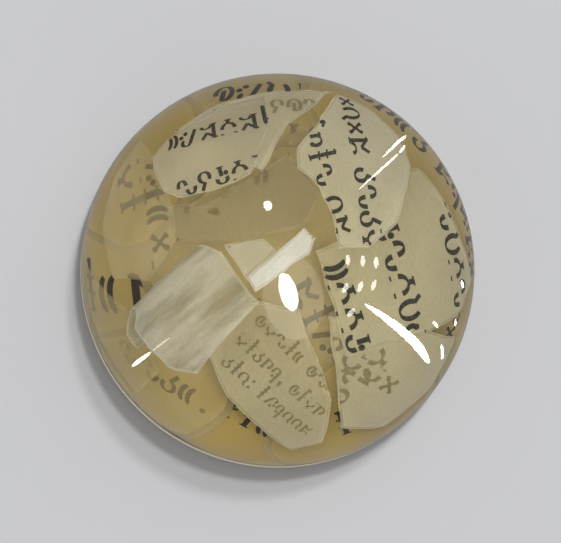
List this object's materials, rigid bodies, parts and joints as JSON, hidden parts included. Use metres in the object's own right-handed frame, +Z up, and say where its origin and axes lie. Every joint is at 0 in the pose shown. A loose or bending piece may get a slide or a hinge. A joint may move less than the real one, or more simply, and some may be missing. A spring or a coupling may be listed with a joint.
{
  "type": "paperweight",
  "caption": "Half-ball paperweight of clear amber cast resin on a flat base, with torn scraps of an old printed page sealed at several depths inside.",
  "frame": {"origin": "middle of the flat resting face", "axes": "+Z up through the top of the dome; +X and +Y lie in the resting face, with the large-print scrap on the +X side"},
  "size_m": [0.045, 0.045, 0.0245],
  "materials": {
    "amber_resin": "polished clear casting, faint amber yellow",
    "printed_paper": "resin-soaked book paper with black print",
    "pale_paper": "pale translucent paper, no print",
    "soaked_paper": "book paper soaked through, deep gold seen under thick resin"
  },
  "bodies": {
    "root": {"crown_pour": "amber_resin", "upper_pour": "amber_resin", "middle_pour": "amber_resin", "lower_pour": "amber_resin", "floor_pour": "amber_resin", "base_pour": "amber_resin", "left_print_scrap": "printed_paper", "right_print_scrap": "printed_paper", "large_print_scrap": "printed_paper", "fine_print_scrap": "printed_paper", "middle_scrap": "printed_paper", "pale_left_scrap": "printed_paper", "lower_right_scrap": "printed_paper", "lower_left_scrap": "printed_paper", "top_scrap": "printed_paper", "narrow_strip": "pale_paper", "square_scrap": "pale_paper", "curled_scrap": "pale_paper", "floor_left_scrap": "soaked_paper", "floor_upper_left_scrap": "soaked_paper", "floor_top_scrap": "soaked_paper", "floor_upper_right_scrap": "soaked_paper", "floor_right_scrap": "soaked_paper", "floor_lower_right_scrap": "soaked_paper", "floor_bottom_scrap": "soaked_paper", "floor_lower_left_scrap": "soaked_paper", "floor_centre_scrap": "soaked_paper"}
  },
  "joints": []
}
